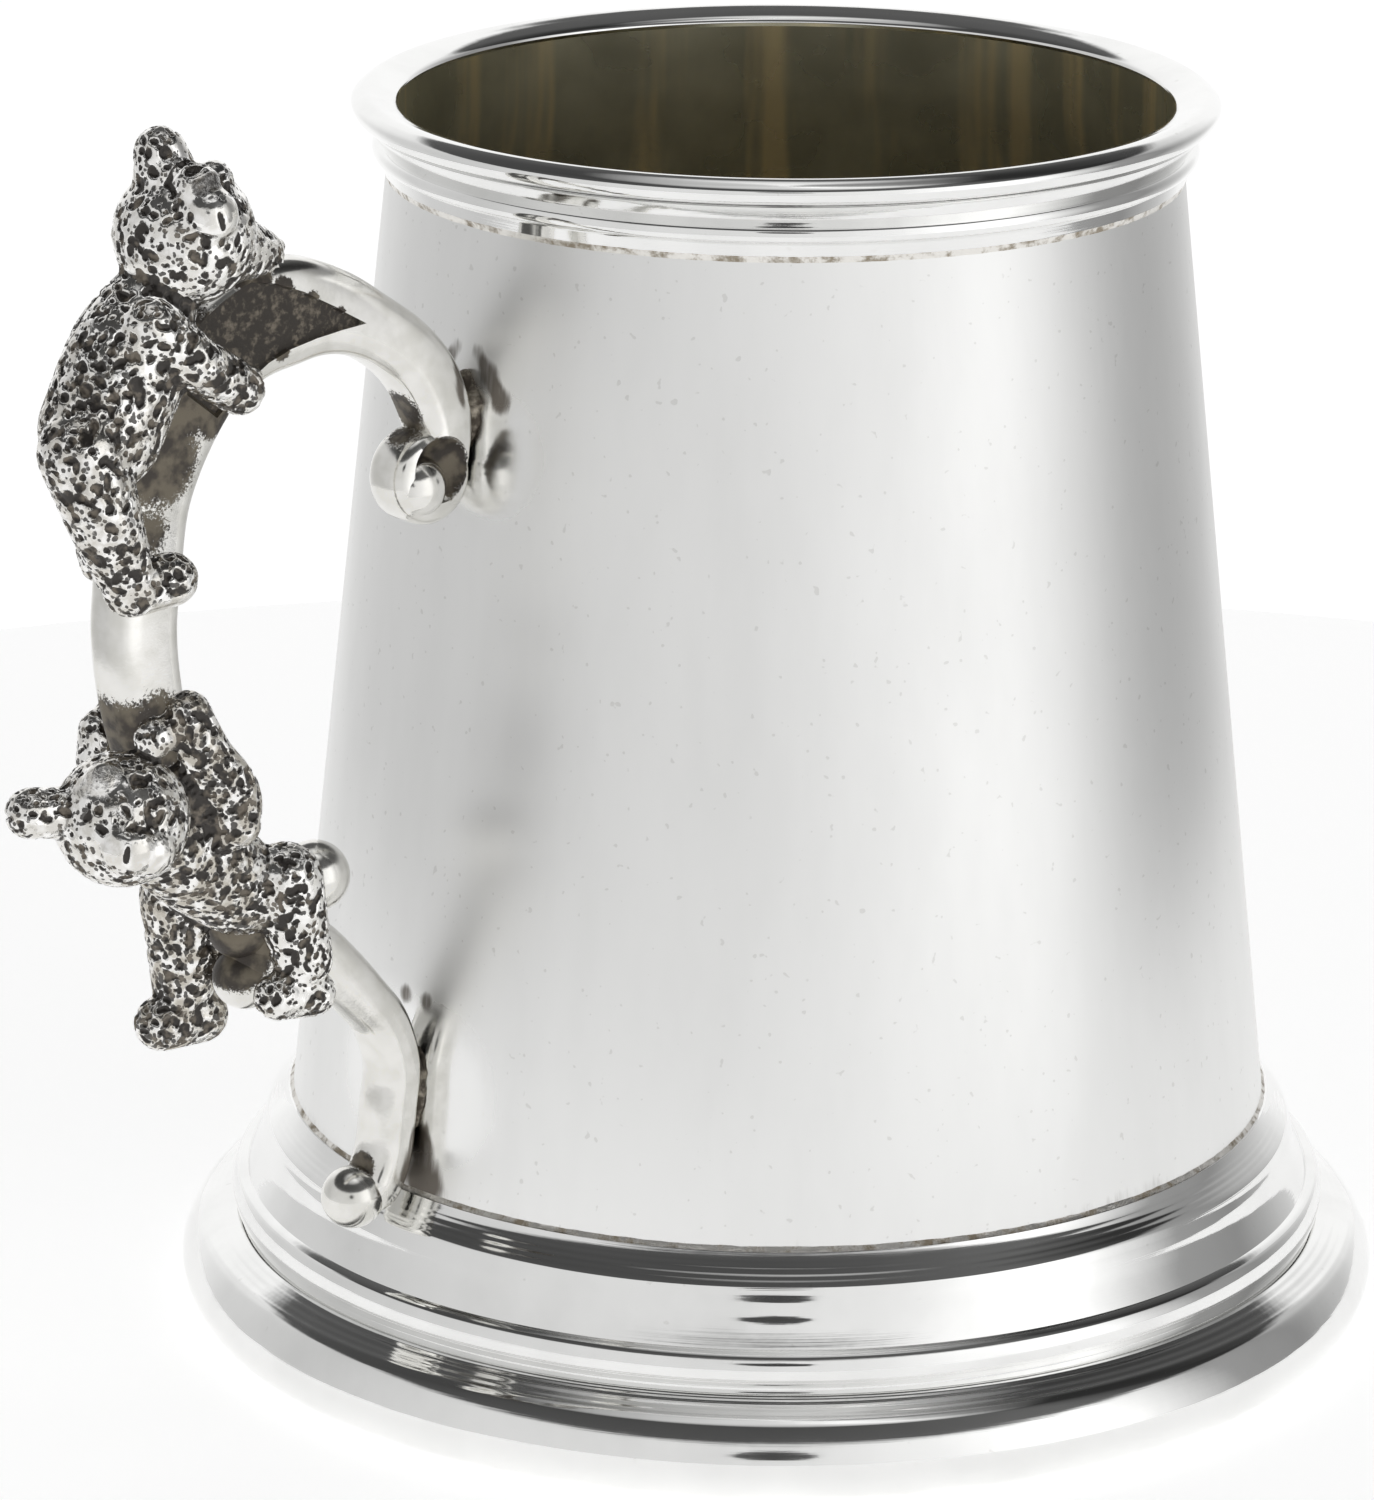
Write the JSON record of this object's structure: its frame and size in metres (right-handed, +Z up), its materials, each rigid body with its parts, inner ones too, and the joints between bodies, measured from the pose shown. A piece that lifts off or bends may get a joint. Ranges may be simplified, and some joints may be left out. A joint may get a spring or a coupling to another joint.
{
  "type": "pewter tankard",
  "caption": "Tapered pewter tankard with a moulded rim, a stepped hollow foot and a double-scroll handle with two clinging bears.",
  "frame": {"origin": "centre of the circle that the foot rests on", "axes": "+Z up along the drum's axis, the handle lies in the XZ plane on the -X side"},
  "size_m": [0.121, 0.0948, 0.1025],
  "materials": {
    "satin_pewter": "satin brushed pewter, lightly blurred reflections",
    "polished_pewter": "bright polished pewter",
    "oxidised_pewter": "polished pewter with blackened recesses",
    "solder": "dull grey-brown soft solder"
  },
  "bodies": {
    "root": {"drum": "satin_pewter", "bottom_disc": "satin_pewter", "rim_mount": "polished_pewter", "rim_solder": "solder", "foot_mount": "polished_pewter", "foot_flange": "polished_pewter", "foot_solder": "solder", "bottom_solder": "solder", "flange_solder": "solder", "handle": "oxidised_pewter", "upper_handle_solder": "solder", "lower_handle_solder": "solder", "climbing_bear": "oxidised_pewter", "hanging_bear": "oxidised_pewter"}
  },
  "joints": []
}
